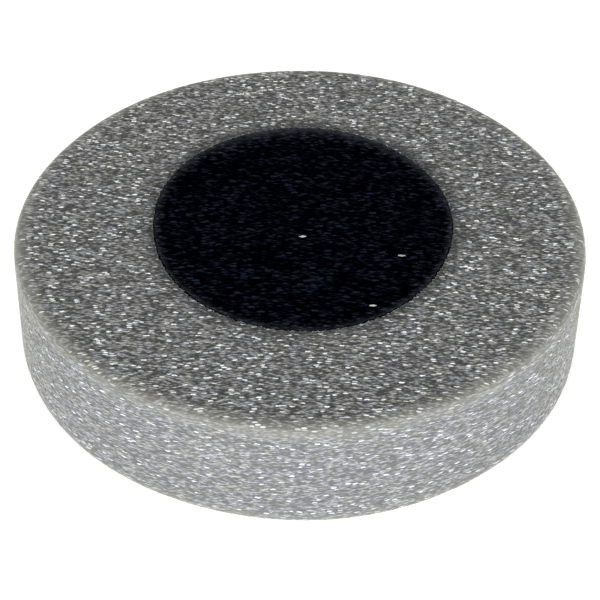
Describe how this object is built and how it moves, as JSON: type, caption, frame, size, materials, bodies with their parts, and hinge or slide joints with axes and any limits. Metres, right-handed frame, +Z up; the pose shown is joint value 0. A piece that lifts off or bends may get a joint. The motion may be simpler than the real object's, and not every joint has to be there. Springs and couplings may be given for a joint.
{
  "type": "sponge filter",
  "caption": "Round two-piece foam filter pad: a thick grey open-cell ring with a push-out black foam core, for an aquarium or pond filter.",
  "frame": {"origin": "centre of the underside, on the pad's axis", "axes": "+Z up along the pad's axis, from the underside to the top face; the foam's cells are longest along X"},
  "size_m": [0.095, 0.095, 0.0206],
  "materials": {
    "grey_foam": "matte",
    "black_foam": "matte"
  },
  "bodies": {
    "ring": {"grey_foam_ring": "grey_foam"},
    "core": {"black_foam_core": "black_foam"}
  },
  "joints": [
    {"name": "core_push_out", "type": "slide", "parent": "ring", "child": "core", "axis": [0, 0, 1], "range_m": [0, 0.026]}
  ]
}
